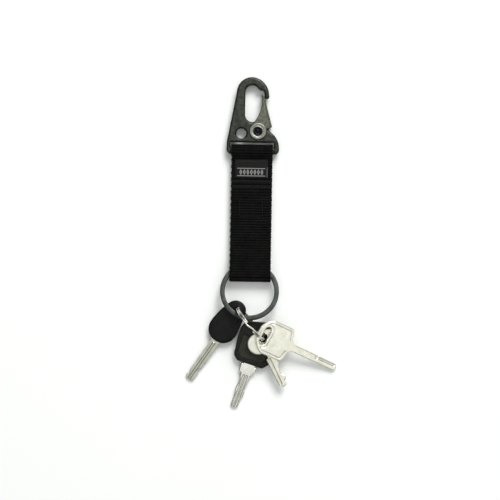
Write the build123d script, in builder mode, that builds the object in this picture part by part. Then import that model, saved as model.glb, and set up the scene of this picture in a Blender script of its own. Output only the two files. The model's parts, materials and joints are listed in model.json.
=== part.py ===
"""Key organiser: a snap hook, a sewn webbing strap, a flat key ring and a small split ring with keys.

The object lies flat on a table. X runs across the strap, Y along it towards the hook, and Z is up
from the table. The origin is on the table under the middle of the whole object.
"""
import os
from math import asin, cos, degrees, radians, sin, sqrt, tan

from build123d import *

os.makedirs("parts", exist_ok=True)

# ---- driving dimensions, millimetres ----
strap_x = -7.78             # centre line of the strap
bar_y = 55.12               # centre of the hook's webbing bar
rest_height = 3.95          # mid-plane of the hook and the strap above the table

webbing_width = 25.0
webbing_thick = 1.5
loop_inner = 2.45           # inside radius of the webbing's two end loops
loop_outer = loop_inner + webbing_thick

plate_thick = 4.0           # hook body
bar_height = 3.2            # webbing bar, across Z
bar_depth = 4.2             # webbing bar, along Y
slot_width = 26.0
slot_top = 4.9              # upper edge of the webbing slot, above the bar's centre

pivot_x = strap_x + 3.27    # gate pivot
pivot_y = bar_y + 11.36
rivet_radius = 1.6
rivet_head_radius = 2.8
lobe_radius = 4.9           # round lobe of the gate, and its washers
pivot_running_fit = 0.06
gate_gap = 0.15             # between the plate and each cheek of the gate
cheek_thick = 0.8
washer_gap = 0.05
washer_thick = 0.4
rivet_head_height = 0.5

recess_radius = 4.0         # round recess in the plate that hides the gate's spring
recess_depth = 2.2

lug_hole_radius = 3.1       # plain hole beside the pivot
lug_hole_x = strap_x - 6.57
lug_hole_y = bar_y + 10.12

flex_y = bar_y - 46.0       # line across which the sewn upper strap meets the free loop
flex_gap = 0.2
fold_centre_y = bar_y - 74.5   # round end of the webbing loop that holds the key ring
fold_rise = 1.35            # how far the ring lifts that end
pocket_length = 6.0         # wide part of that loop
taper_length = 11.0         # where its two layers come together
upper_taper = 5.4           # the same at the hook's end

key_ring_diameter = 35.0
key_ring_width = 2.8        # radial width of the flat wire
key_ring_thick = 2.0
key_ring_x = strap_x - 0.1
key_ring_y = bar_y - 83.7
key_ring_tilt = 14.2        # degrees, far end up, because it lies on a key
pocket_centre_y = bar_y - 72.2   # the ring's plane crosses pocket_centre_z here
pocket_centre_z = rest_height + 0.3

small_ring_diameter = 25.0
small_ring_wire = 1.9
small_ring_x = strap_x + 0.9
small_ring_y = bar_y - 102.5
small_ring_heading = -49.15  # degrees, direction of the ring's flat side seen from above
small_ring_lean = 5.0        # degrees from upright


def save(piece, node):
    """Label a finished piece and write its STEP file."""
    piece.part.label = node
    export_step(piece.part, f"parts/{node}.step")


# ---- hook body: a flat forged plate with an eye, a nose, a webbing slot and a pivot lobe ----
hook_plane = Plane(origin=(strap_x, bar_y, rest_height))

with BuildPart() as hook_body:
    with BuildSketch(hook_plane) as outline:
        with BuildLine():
            Line((-12.3, -2.1), (12.9, -2.1))
            ThreePointArc((12.9, -2.1), (15.4, -1.2), (16.0, 1.3))
            ThreePointArc((16.0, 1.3), (15.2, 5.6), (12.3, 9.85))
            Line((12.3, 9.85), (8.6, 13.2))
            ThreePointArc((8.6, 13.2), (4.3, 16.9), (-0.3, 16.85))
            ThreePointArc((-0.3, 16.85), (-3.2, 18.2), (-4.55, 21.3))
            Line((-4.55, 21.3), (-4.5, 34.6))
            ThreePointArc((-4.5, 34.6), (-1.2, 38.9), (2.5, 37.9))
            ThreePointArc((2.5, 37.9), (3.7, 36.5), (5.2, 35.95))
            ThreePointArc((5.2, 35.95), (6.35, 35.5), (6.75, 34.4))
            Line((6.75, 34.4), (7.1, 32.4))
            ThreePointArc((7.1, 32.4), (8.7, 30.95), (9.55, 33.0))
            ThreePointArc((9.55, 33.0), (6.4, 40.6), (0.1, 43.65))
            ThreePointArc((0.1, 43.65), (-6.5, 41.4), (-9.7, 34.2))
            Line((-9.7, 34.2), (-15.1, 5.2))
            Line((-15.1, 5.2), (-15.25, 0.9))
            ThreePointArc((-15.25, 0.9), (-14.4, -1.25), (-12.3, -2.1))
        make_face()
    extrude(amount=plate_thick / 2, both=True)
    # webbing slot, open at the bottom until the rounded bar closes it again
    slot_height = slot_top + bar_depth
    with BuildSketch(Plane(origin=(strap_x, bar_y + slot_top - slot_height / 2, rest_height))) as slot:
        Rectangle(slot_width, slot_height)
    extrude(amount=plate_thick, both=True, mode=Mode.SUBTRACT)
    bar_plane = Plane(origin=(strap_x, bar_y, rest_height), x_dir=(0, 1, 0), z_dir=(1, 0, 0))
    with BuildSketch(bar_plane) as bar_section:
        SlotOverall(bar_depth, bar_height)
    extrude(amount=slot_width / 2 + 0.6, both=True)
    # plain hole beside the pivot, its edges broken
    with Locations(Plane(origin=(lug_hole_x, lug_hole_y, rest_height + plate_thick / 2))):
        Hole(lug_hole_radius)
    lug_rim = hook_body.edges().filter_by(GeomType.CIRCLE)
    lug_rim = [e for e in lug_rim if abs(e.radius - lug_hole_radius) < 0.01]
    chamfer(lug_rim, length=0.4)
    # hole for the rivet, and the round recess that hides the gate's spring
    with Locations(Plane(origin=(pivot_x, pivot_y, rest_height + plate_thick / 2))):
        CounterBoreHole(rivet_radius, recess_radius, recess_depth)
    # channel from the recess to the lobe's edge, for the spring's moving leg
    with BuildSketch(Plane(origin=(pivot_x, pivot_y, rest_height + plate_thick / 2))) as channel:
        with BuildLine():
            Polyline((1.2, 2.6), (3.9, 0.9), (9.0, 4.6), (3.9, 8.2), (1.2, 2.6))
        make_face()
    extrude(amount=-recess_depth, mode=Mode.SUBTRACT)
save(hook_body, "hook_body")

# ---- gate: sheet metal folded to a U along its right edge, one cheek each side of the plate ----
gate_half = plate_thick / 2 + gate_gap + cheek_thick

with BuildPart() as hook_gate:
    with BuildSketch(hook_plane) as cheek:
        with BuildLine():
            Line((7.05, 31.3), (11.6, 14.25))
            Line((11.6, 14.25), (8.1, 12.4))
            ThreePointArc((8.1, 12.4), (4.5, 6.6), (-1.6, 11.0))
            ThreePointArc((-1.6, 11.0), (-1.4, 13.1), (-0.3, 15.4))
            ThreePointArc((-0.3, 15.4), (4.2, 22.6), (5.1, 32.9))
            ThreePointArc((5.1, 32.9), (5.9, 33.4), (6.5, 32.8))
            Line((6.5, 32.8), (7.05, 31.3))
        make_face()
    extrude(amount=gate_half, both=True)
    with BuildSketch(hook_plane) as hollow:
        with BuildLine():
            Polyline((6.0, 31.5), (10.75, 13.4), (10.75, 4.0), (-6.0, 4.0), (-6.0, 31.5), (6.0, 31.5))
        make_face()
    extrude(amount=plate_thick / 2 + gate_gap, both=True, mode=Mode.SUBTRACT)
    with Locations(Plane(origin=(pivot_x, pivot_y, rest_height + gate_half))):
        Hole(rivet_radius + pivot_running_fit)
save(hook_gate, "hook_gate")

# ---- rivet, its washers and the gate's torsion spring ----
washer_base = gate_half + washer_gap
rivet_base = washer_base + washer_thick

with BuildPart() as gate_rivet:
    with BuildSketch(Plane(origin=(pivot_x, pivot_y, rest_height))) as shank:
        Circle(rivet_radius)
    extrude(amount=rivet_base, both=True)
    for side in (1, -1):
        head_plane = Plane(origin=(pivot_x, pivot_y, rest_height + side * rivet_base), z_dir=(0, 0, side))
        with BuildSketch(head_plane) as head:
            Circle(rivet_head_radius)
        extrude(amount=rivet_head_height)
    head_rims = gate_rivet.edges().filter_by(GeomType.CIRCLE).filter_by(
        lambda e: abs(abs(e.center().Z - rest_height) - rivet_base - rivet_head_height) < 0.01)
    fillet(head_rims, radius=0.4)
save(gate_rivet, "gate_rivet")

for side, node in ((1, "front_pivot_washer"), (-1, "rear_pivot_washer")):
    washer_plane = Plane(origin=(pivot_x, pivot_y, rest_height + side * washer_base), z_dir=(0, 0, side))
    with BuildPart() as pivot_washer:
        with BuildSketch(washer_plane) as ring:
            Circle(lobe_radius)
            Circle(rivet_radius, mode=Mode.SUBTRACT)
        extrude(amount=washer_thick)
        outer_rim = pivot_washer.edges().filter_by(GeomType.CIRCLE).filter_by(
            lambda e: e.radius > 4 and abs(abs(e.center().Z - rest_height) - washer_base) > 0.1)
        chamfer(outer_rim, length=0.2)
    save(pivot_washer, node)

spring_radius = 2.7
spring_wire = 0.32
spring_pitch = 0.8
spring_base = rest_height + plate_thick / 2 - recess_depth + spring_wire
with BuildPart() as gate_spring:
    with BuildLine() as coil:
        Helix(pitch=spring_pitch, height=1.5 * spring_pitch, radius=spring_radius,
              center=(pivot_x, pivot_y, spring_base))
    with BuildSketch(Plane(origin=coil.line @ 0, z_dir=coil.line % 0)) as coil_wire:
        Circle(spring_wire)
    sweep(is_frenet=True)
save(gate_spring, "gate_spring")

# ---- webbing strap, in two lengths that bend against each other ----
strap_side = Plane(origin=(strap_x, 0, 0), x_dir=(0, 1, 0), z_dir=(1, 0, 0))
layer = webbing_thick


def loop_shape(round_ends, radius, taper_y, half_end):
    """Outline of a webbing loop from the side: round ends of one radius, tapering to half_end at taper_y."""
    with BuildSketch() as shape:
        with Locations(*round_ends):
            Circle(radius)
        with Locations((taper_y, rest_height)):
            Rectangle(0.1, 2 * half_end)
        make_hull()
    return shape.sketch


bar_end = [(bar_y, rest_height)]
upper_end_y = flex_y + layer + flex_gap
with BuildPart() as webbing_upper:
    with BuildSketch(strap_side) as upper_profile:
        add(loop_shape(bar_end, loop_outer, bar_y - upper_taper, layer))
        with Locations(((bar_y - upper_taper + upper_end_y) / 2, rest_height)):
            Rectangle(bar_y - upper_taper - upper_end_y, 2 * layer)
        add(loop_shape(bar_end, loop_inner, bar_y - upper_taper + 0.4, 0.02), mode=Mode.SUBTRACT)
    extrude(amount=webbing_width / 2, both=True)
save(webbing_upper, "webbing_upper")

fold_ends = [(fold_centre_y, rest_height + fold_rise), (fold_centre_y + pocket_length, rest_height)]
lower_taper_y = fold_centre_y + pocket_length + taper_length
with BuildPart() as webbing_lower:
    with BuildSketch(strap_side) as lower_profile:
        add(loop_shape(fold_ends, loop_outer, lower_taper_y, layer))
        with Locations(((lower_taper_y + flex_y) / 2, rest_height)):
            Rectangle(flex_y - lower_taper_y, 2 * layer)
        with Locations((flex_y, rest_height)):
            Circle(layer)
        add(loop_shape(fold_ends, loop_inner, lower_taper_y - 0.6, 0.02), mode=Mode.SUBTRACT)
    extrude(amount=webbing_width / 2, both=True)
save(webbing_lower, "webbing_lower")

# ---- woven label and the three groups of stitching on the strap's face ----
face_z = rest_height + layer
label_top = bar_y - 5.6
label_height = 10.8
label_width = 19.6

with BuildPart() as woven_label:
    with BuildSketch(Plane(origin=(strap_x - 0.2, label_top - label_height / 2, face_z))) as patch:
        RectangleRounded(label_width, label_height, 0.6)
    extrude(amount=0.4)
save(woven_label, "woven_label")


def stitched_frame(centre_x, centre_y, width, height, line):
    """A closed rectangle of thread that lies on the strap's face."""
    with BuildPart() as frame:
        with BuildSketch(Plane(origin=(centre_x, centre_y, face_z))) as thread:
            Rectangle(width, height)
            Rectangle(width - 2 * line, height - 2 * line, mode=Mode.SUBTRACT)
        extrude(amount=0.3)
    return frame


box_stitching = stitched_frame(strap_x - 0.2, bar_y - 34.5, 14.2, 10.4, 0.7)
save(box_stitching, "box_stitching")

with BuildPart() as bar_tack:
    with BuildSketch(Plane(origin=(strap_x, bar_y - 20.7, face_z))) as tack:
        Rectangle(webbing_width - 1.2, 7.0)
        with GridLocations(2.4, 0, 10, 1):
            Rectangle(1.1, 5.4, mode=Mode.SUBTRACT)
    extrude(amount=0.3)
save(bar_tack, "bar_tack_stitching")

# ---- key ring and small split ring: two flat turns with a seam between them ----
tilt = radians(key_ring_tilt)
key_ring_z = pocket_centre_z + (pocket_centre_y - key_ring_y) * tan(tilt)
key_ring_centre = (key_ring_x, key_ring_y, key_ring_z)
key_ring_plane = Plane(origin=key_ring_centre, x_dir=(1, 0, 0), z_dir=(0, sin(tilt), cos(tilt)))

heading = radians(small_ring_heading)
lean = radians(small_ring_lean)
along = Vector(cos(heading), sin(heading), 0)
aside = Vector(sin(heading), -cos(heading), 0)
small_ring_wire_radius = (small_ring_diameter - small_ring_wire) / 2
small_ring_z = small_ring_diameter / 2 * cos(lean) + small_ring_wire / 2 * sin(lean)
small_ring_centre = Vector(small_ring_x, small_ring_y, small_ring_z)
small_ring_axis = aside * cos(lean) - Vector(0, 0, 1) * sin(lean)
small_ring_plane = Plane(origin=small_ring_centre, x_dir=along, z_dir=small_ring_axis)


def split_ring(plane, diameter, width, thick, seam):
    """A flat split ring: a turned body with a seam groove round its rim and a step where each end lies."""
    wire_radius = (diameter - width) / 2
    section_plane = Plane(origin=plane.origin, x_dir=plane.x_dir, z_dir=plane.y_dir * -1)
    with BuildPart() as ring:
        with BuildSketch(section_plane) as section:
            with Locations((wire_radius, 0)):
                RectangleRounded(width, thick, thick * 0.22)
            for rim in (wire_radius + width / 2, wire_radius - width / 2):
                with Locations((rim, 0)):
                    Rectangle(seam * 2, seam, mode=Mode.SUBTRACT)
        revolve(axis=Axis(plane.origin, plane.z_dir), revolution_arc=360)
        for turn, side in ((200, 1), (235, -1)):
            angle = radians(turn)
            radial = plane.x_dir * cos(angle) + plane.y_dir * sin(angle)
            spot = plane.origin + radial * wire_radius + plane.z_dir * (side * thick / 2)
            with BuildSketch(Plane(origin=spot, x_dir=radial, z_dir=plane.z_dir)) as step:
                Rectangle(width * 1.3, seam * 2)
            extrude(amount=thick * 0.3, both=True, mode=Mode.SUBTRACT)
    return ring


key_ring = split_ring(key_ring_plane, key_ring_diameter, key_ring_width, key_ring_thick, 0.16)
save(key_ring, "key_ring")
small_split_ring = split_ring(small_ring_plane, small_ring_diameter, small_ring_wire, small_ring_wire, 0.12)
save(small_split_ring, "small_split_ring")


# ---- keys: each lies on its own sloping plane through the small ring's wire ----
def wire_point(height, side):
    """Centre of the small ring's wire at a height below its middle; side -1 is its hook end."""
    rise = (height - small_ring_z) / (small_ring_wire_radius * cos(lean))
    reach = side * sqrt(1 - rise * rise)
    up = Vector(0, 0, 1) * cos(lean) + aside * sin(lean)
    return small_ring_centre + (along * reach + up * rise) * small_ring_wire_radius


def key_plane(height, side, bearing, slope):
    """Plane of a key: origin in its hole, local X down the key towards its tip, slope in degrees."""
    turn = radians(bearing)
    drop = radians(slope)
    down_key = (cos(turn) * cos(drop), sin(turn) * cos(drop), -sin(drop))
    normal = (cos(turn) * sin(drop), sin(turn) * sin(drop), cos(drop))
    return Plane(origin=wire_point(height, side), x_dir=down_key, z_dir=normal)


def slope_to(height, tip_height, length):
    """Slope in degrees of a key whose tip is lower than its hole."""
    return degrees(asin((height - tip_height) / length))


bike_key_height = 6.6
bike_key_head_thick = 2.8
bike_key_plane = key_plane(bike_key_height, -1, -124.0, slope_to(bike_key_height, 1.2, 52))
car_key_height = 5.2
car_key_head_thick = 3.6
car_key_plane = key_plane(car_key_height, 1, -109.2, slope_to(car_key_height, 1.3, 47))
padlock_key_height = 8.65
padlock_key_thick = 1.8
padlock_key_plane = key_plane(padlock_key_height, 1, -63.9, 5.0)
house_key_height = 12.75
house_key_thick = 2.2
house_key_plane = key_plane(house_key_height, 1, -24.6, slope_to(house_key_height, 1.4, 48.0))

bike_blade_offset = -1.6
bike_blade_width = 5.4
bike_blade_end = 52.3
bike_blade_thick = 1.2
bike_ridge_start = 25.1
bike_ridge_width = 1.7
bike_ridge_thick = 2.2
bike_eye_radius = 2.1

with BuildPart() as bike_key_head:
    with BuildSketch(bike_key_plane) as egg:
        with Locations((2.1, -2.0)):
            Circle(6.2)
        with Locations((9.0, -2.2)):
            Circle(7.9)
        with Locations((15.6, -2.0)):
            Circle(8.8)
        make_hull()
    extrude(amount=bike_key_head_thick / 2, both=True)
    fillet(bike_key_head.edges(), radius=1.0)
    with BuildSketch(bike_key_plane) as eye:
        Circle(bike_eye_radius)
    extrude(amount=bike_key_head_thick, both=True, mode=Mode.SUBTRACT)
    eye_rims = bike_key_head.edges().filter_by(GeomType.CIRCLE).filter_by(
        lambda e: abs(e.radius - bike_eye_radius) < 0.01)
    chamfer(eye_rims, length=0.9)
    with BuildSketch(bike_key_plane) as tang_slot:
        with Locations((22.0, bike_blade_offset)):
            Rectangle(10.0, bike_blade_width)
    extrude(amount=bike_blade_thick / 2, both=True, mode=Mode.SUBTRACT)
save(bike_key_head, "bike_key_head")

with BuildPart() as bike_key_blade:
    with BuildSketch(bike_key_plane) as blade:
        with BuildLine():
            left = bike_blade_offset - bike_blade_width / 2
            right = bike_blade_offset + bike_blade_width / 2
            Polyline((17.0, left), (47.4, left), (48.2, left + 1.0), (49.4, left + 1.0), (50.0, left),
                     (51.4, left), (bike_blade_end, left + 1.2), (bike_blade_end, right - 1.2),
                     (51.4, right), (45.4, right), (45.0, right - 1.5), (43.2, right - 1.5),
                     (42.8, right), (17.0, right), (17.0, left))
        make_face()
    extrude(amount=bike_blade_thick / 2, both=True)
    with BuildSketch(bike_key_plane) as ridge:
        with Locations(((bike_ridge_start + bike_blade_end) / 2, bike_blade_offset)):
            Rectangle(bike_blade_end - bike_ridge_start, bike_ridge_width)
    extrude(amount=bike_ridge_thick / 2, both=True)
save(bike_key_blade, "bike_key_blade")

car_eye_radius = 2.6
car_blade_thick = 1.8
panel_depth = 0.6            # how deep the head's panel recess is on each face

with BuildPart() as car_key_head:
    with BuildSketch(car_key_plane) as trapezoid:
        with BuildLine():
            FilletPolyline((-4.0, -11.0), (-7.2, 0.5), (-7.2, 5.5), (-3.5, 9.8), (15.2, 11.2), (19.6, 8.0),
                           (19.9, -8.0), (17.2, -11.0), (8.5, -12.2), (0.5, -12.6), radius=2.6, close=True)
        make_face()
    extrude(amount=car_key_head_thick / 2, both=True)
    rim_edges = [e for e in car_key_head.edges() if e.length > 0.5
                 and abs(abs(car_key_plane.to_local_coords(e.center()).Z) - car_key_head_thick / 2) < 0.01]
    fillet(rim_edges, radius=0.9)
    for side in (1, -1):
        panel_plane = car_key_plane.offset(side * (car_key_head_thick / 2 - panel_depth))
        with BuildSketch(panel_plane) as recess:
            with BuildLine():
                FilletPolyline((3.5, -9.6), (5.4, -3.0), (5.4, 6.5), (14.4, 7.8), (16.6, 5.5), (16.8, -7.0),
                               (14.5, -9.3), radius=1.2, close=True)
            make_face()
        extrude(amount=side * 1.0, mode=Mode.SUBTRACT)
    with BuildSketch(car_key_plane) as eye:
        Circle(car_eye_radius)
    extrude(amount=car_key_head_thick, both=True, mode=Mode.SUBTRACT)
    eye_rims = car_key_head.edges().filter_by(GeomType.CIRCLE).filter_by(
        lambda e: abs(e.radius - car_eye_radius) < 0.01)
    chamfer(eye_rims, length=1.2)
    with BuildSketch(car_key_plane) as tang_slot:
        with Locations((17.5, -0.2)):
            Rectangle(8.0, 8.0)
    extrude(amount=car_blade_thick / 2, both=True, mode=Mode.SUBTRACT)
save(car_key_head, "car_key_head")

for side, node in ((1, "car_key_front_panel"), (-1, "car_key_rear_panel")):
    with BuildPart() as panel:
        with BuildSketch(car_key_plane.offset(side * (car_key_head_thick / 2 - panel_depth))) as inlay:
            with BuildLine():
                FilletPolyline((3.7, -9.4), (5.6, -2.9), (5.6, 6.3), (14.3, 7.6), (16.4, 5.4), (16.6, -6.9),
                               (14.4, -9.1), radius=1.1, close=True)
            make_face()
        extrude(amount=side * 0.35)
    save(panel, node)

with BuildPart() as car_key_blade:
    with BuildSketch(car_key_plane) as blade:
        with BuildLine():
            Polyline((14.0, -4.0), (20.2, -4.0), (20.2, -5.1), (25.2, -5.0), (26.2, -3.2), (28.6, -3.3),
                     (29.4, -2.6), (33.0, -2.6), (34.0, -3.0), (37.5, -3.0), (38.5, -2.5), (46.2, -2.4),
                     (47.6, -1.2), (47.6, 0.8), (46.4, 2.2), (41.0, 2.3), (40.0, 2.9), (36.5, 2.9),
                     (35.5, 2.4), (31.0, 2.6), (30.0, 2.9), (26.2, 2.9), (23.2, 4.9), (20.2, 4.9),
                     (20.2, 3.6), (14.0, 3.6), (14.0, -4.0))
        make_face()
    extrude(amount=car_blade_thick / 2, both=True)
    for side in (1, -1):
        with BuildSketch(car_key_plane.offset(side * car_blade_thick / 2)) as grooves:
            for offset in (-1.0, 0.9):
                with Locations((37.5, offset)):
                    Rectangle(21.0, 0.7)
        extrude(amount=-side * 0.4, mode=Mode.SUBTRACT)
save(car_key_blade, "car_key_blade")

padlock_eye_radius = 2.7

with BuildPart() as padlock_key:
    with BuildSketch(padlock_key_plane) as head:
        with Locations((2.6, -4.4)):
            Circle(6.2)
        with Locations((2.6, 2.4)):
            Circle(6.2)
        make_hull()
        with BuildLine():
            Polyline((7.0, -3.4), (12.6, -2.6), (13.4, -4.0), (30.5, -3.6), (32.4, -1.4), (32.0, 0.6),
                     (30.6, 1.2), (29.4, 0.4), (28.0, 2.2), (26.2, 2.3), (24.6, 0.6), (23.0, 0.3),
                     (21.4, 1.6), (20.0, 0.9), (18.4, 1.9), (13.4, 2.2), (12.6, 0.9), (7.0, 1.4),
                     (7.0, -3.4))
        make_face()
        with Locations((0.6, 0.0)):
            Circle(padlock_eye_radius, mode=Mode.SUBTRACT)
    extrude(amount=padlock_key_thick / 2, both=True)
    for side in (1, -1):
        with BuildSketch(padlock_key_plane.offset(side * padlock_key_thick / 2)) as groove:
            with Locations((22.0, -2.1)):
                Rectangle(17.0, 0.9)
        extrude(amount=-side * 0.45, mode=Mode.SUBTRACT)
save(padlock_key, "padlock_key")

with BuildPart() as house_key:
    with BuildSketch(house_key_plane) as head:
        with BuildLine():
            Line((2.0, 12.6), (14.2, 12.6))
            Polyline((14.2, 12.6), (15.4, 11.9), (16.8, 6.8))
            ThreePointArc((16.8, 6.8), (18.4, 5.0), (21.2, 4.4))
            Polyline((21.2, 4.4), (47.4, 4.3), (48.6, 3.0), (48.6, 1.4), (47.4, 0.1), (21.2, 0.0))
            ThreePointArc((21.2, 0.0), (18.4, -0.6), (16.8, -2.4))
            Polyline((16.8, -2.4), (15.4, -7.5), (14.2, -8.2), (2.0, -8.2))
            ThreePointArc((2.0, -8.2), (-4.9, 2.2), (2.0, 12.6))
        make_face()
    extrude(amount=house_key_thick / 2, both=True)
    with BuildSketch(house_key_plane) as key_slot:
        with Locations((0.3, 2.0)):
            SlotOverall(11.2, 3.8, rotation=86)
    extrude(amount=house_key_thick, both=True, mode=Mode.SUBTRACT)
    for side in (1, -1):
        with BuildSketch(house_key_plane.offset(side * house_key_thick / 2)) as groove:
            with Locations((41.5, 3.3)):
                Rectangle(10.5, 0.9)
            with Locations((34.6, 3.3)):
                Rectangle(1.4, 1.5)
        extrude(amount=-side * 0.5, mode=Mode.SUBTRACT)
save(house_key, "house_key")

pieces = [hook_body, hook_gate, gate_rivet, gate_spring, webbing_upper, webbing_lower, woven_label,
          key_ring, small_split_ring, bike_key_head, bike_key_blade, car_key_head, car_key_blade,
          padlock_key, house_key]
box = Compound(children=[piece.part for piece in pieces]).bounding_box()
hinges = (pivot_x, pivot_y, bar_y, flex_y, key_ring_x, key_ring_y, key_ring_z)
print("hinges", [round(v, 3) for v in hinges])
print("box", [round(v, 3) for v in (box.min.X, box.min.Y, box.min.Z, box.max.X, box.max.Y, box.max.Z)])
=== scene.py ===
# %% [markdown]
# # A key organiser, finished for looks
# The real object is a forged snap hook, a loop of ribbed webbing, a flat key ring and a small
# split ring that carries four keys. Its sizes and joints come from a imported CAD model, which is
# loaded first and never moved. Every piece below is laid over a CAD node in the same place, so
# nothing has to be fitted by eye.

import json
import math

import bmesh
import bpy
import numpy as np
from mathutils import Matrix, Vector
from mathutils.kdtree import KDTree


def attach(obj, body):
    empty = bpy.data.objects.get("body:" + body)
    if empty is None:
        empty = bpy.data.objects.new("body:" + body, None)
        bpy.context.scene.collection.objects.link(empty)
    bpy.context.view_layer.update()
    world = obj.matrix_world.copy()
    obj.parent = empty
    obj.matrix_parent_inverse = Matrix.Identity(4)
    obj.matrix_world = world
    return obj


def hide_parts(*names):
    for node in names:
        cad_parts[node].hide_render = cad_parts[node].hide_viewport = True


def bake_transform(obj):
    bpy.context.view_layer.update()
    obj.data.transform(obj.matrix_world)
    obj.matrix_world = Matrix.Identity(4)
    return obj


MM = 0.001
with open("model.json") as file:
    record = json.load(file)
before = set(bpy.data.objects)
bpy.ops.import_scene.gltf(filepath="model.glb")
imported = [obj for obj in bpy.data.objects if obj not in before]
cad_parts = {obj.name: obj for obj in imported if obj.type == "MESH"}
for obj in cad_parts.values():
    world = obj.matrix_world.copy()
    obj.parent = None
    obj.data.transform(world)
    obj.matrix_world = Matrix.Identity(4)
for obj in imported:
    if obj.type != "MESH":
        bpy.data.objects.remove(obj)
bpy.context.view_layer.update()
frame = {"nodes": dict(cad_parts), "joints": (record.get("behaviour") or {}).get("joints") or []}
scene = bpy.context.scene
joint_at = {joint["name"]: np.array(joint["pos_m"]) / MM for joint in frame["joints"]}

# %% [markdown]
# ## Camera
# The object lies flat and is seen from straight above. A perspective camera 650 mm up, with a
# field of 300 mm at the table, gives the slight spread that raised parts show. It is turned by
# one degree because the strap leans by that much in the view. Its lens follows from those two
# lengths.

# %% Camera
CAMERA_HEIGHT = 0.650
HALF_FIELD = 0.150
FIELD_CENTRE = (-0.0080, -0.0041)
VIEW_TURN_DEG = 0.98


def placed(name, data):
    """Object for a mesh, a lamp or a camera, linked into the scene."""
    thing = bpy.data.objects.new(name, data)
    scene.collection.objects.link(thing)
    return thing


camera_data = bpy.data.cameras.new("overhead_camera")
camera_data.lens = camera_data.sensor_width / 2 * CAMERA_HEIGHT / HALF_FIELD
camera = placed("overhead_camera", camera_data)
camera.location = (*FIELD_CENTRE, CAMERA_HEIGHT)
camera.rotation_euler = (0, 0, math.radians(VIEW_TURN_DEG))
scene.camera = camera
print("lens in mm:", round(camera_data.lens, 1))

# %% [markdown]
# ## Node helpers
# A material is a graph of nodes, and wiring it by hand takes many lines. These helpers add a
# node with its values, join two sockets and open a node group, so each finish further down
# reads as a short list of what is mixed with what.

# %% Node helpers


def add_node(tree, kind, **values):
    """Adds one shader node; each value sets a property or, if there is none, an input socket."""
    node = tree.nodes.new("ShaderNode" + kind)
    for name, value in values.items():
        if hasattr(node, name):
            setattr(node, name, value)
        else:
            node.inputs[name.replace("_", " ")].default_value = value
    return node


def join(tree, source, target):
    """Joins two sockets."""
    tree.links.new(source, target)


def blend_colours(tree, share, first, second):
    """Mix node between two colours, each a socket or a tuple; returns its result socket."""
    mix = add_node(tree, "Mix", data_type="RGBA")
    for slot, value in ((0, share), (6, first), (7, second)):
        if isinstance(value, bpy.types.NodeSocket):
            join(tree, value, mix.inputs[slot])
        elif slot:
            mix.inputs[slot].default_value = (*value, 1.0)
        else:
            mix.inputs[slot].default_value = value
    return mix.outputs[2]


def maths(tree, operation, *values):
    """Math node on sockets or numbers; returns its result socket."""
    node = add_node(tree, "Math", operation=operation)
    for socket, value in zip(node.inputs, values):
        if isinstance(value, bpy.types.NodeSocket):
            join(tree, value, socket)
        else:
            socket.default_value = value
    return node.outputs[0]


def spread(tree, value, low, high, to_low=0.0, to_high=1.0):
    """Map Range node: value from low..high to to_low..to_high, clamped."""
    node = add_node(tree, "MapRange")
    join(tree, value, node.inputs["Value"])
    for name, number in (("From Min", low), ("From Max", high), ("To Min", to_low), ("To Max", to_high)):
        node.inputs[name].default_value = number
    return node.outputs[0]


def open_group(name, inputs, outputs):
    """New node group with those (label, socket type, default) inputs and (label, type) outputs."""
    group = bpy.data.node_groups.new(name, "ShaderNodeTree")
    for label, kind, default in inputs:
        socket = group.interface.new_socket(label, in_out="INPUT", socket_type="NodeSocket" + kind)
        if default is not None:
            socket.default_value = default
    for label, kind in outputs:
        group.interface.new_socket(label, in_out="OUTPUT", socket_type="NodeSocket" + kind)
    return group, group.nodes.new("NodeGroupInput"), group.nodes.new("NodeGroupOutput")


def place_group(tree, group, vector=None, **values):
    """Puts a group into a material with its own values."""
    node = tree.nodes.new("ShaderNodeGroup")
    node.node_tree = group
    if vector is not None:
        join(tree, vector, node.inputs["Vector"])
    for name, value in values.items():
        node.inputs[name.replace("_", " ")].default_value = value
    return node.outputs


# %% [markdown]
# ## Shared surface effects
# Five effects turn up on more than one finish: cloudy changes of tone, fine drawn lines, edges
# that carry wear and painted light, painted shade in recesses and specks of dust. Each is a
# group, built once. What an edge looks like, brighter or darker than the face, is left to the
# finish; the group only says where. A darker edge is painted shade; a brighter one is rubbed
# wear, on the rivet and the moulded heads also a painted highlight. The edge group compares the
# true normal with one rounded by a Bevel node: they differ only near an edge, so their
# difference is a mask of the edges at any mesh density.

# %% Cloudy tone
cloudy_tone, entry, out = open_group(
    "cloudy_tone",
    [("Vector", "Vector", None), ("Scale", "Float", 300.0), ("Grain Scale", "Float", 3000.0)],
    [("Tone", "Float"), ("Grain", "Float")])
broad = add_node(cloudy_tone, "TexNoise", Detail=4.0, Roughness=0.6)
fine = add_node(cloudy_tone, "TexNoise", Detail=3.0, Roughness=0.7)
for noise, scale_name in ((broad, "Scale"), (fine, "Grain Scale")):
    join(cloudy_tone, entry.outputs["Vector"], noise.inputs["Vector"])
    join(cloudy_tone, entry.outputs[scale_name], noise.inputs["Scale"])
join(cloudy_tone, spread(cloudy_tone, broad.outputs[0], 0.3, 0.7), out.inputs["Tone"])
join(cloudy_tone, spread(cloudy_tone, fine.outputs[0], 0.3, 0.7), out.inputs["Grain"])
print("group:", cloudy_tone.name)

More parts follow.
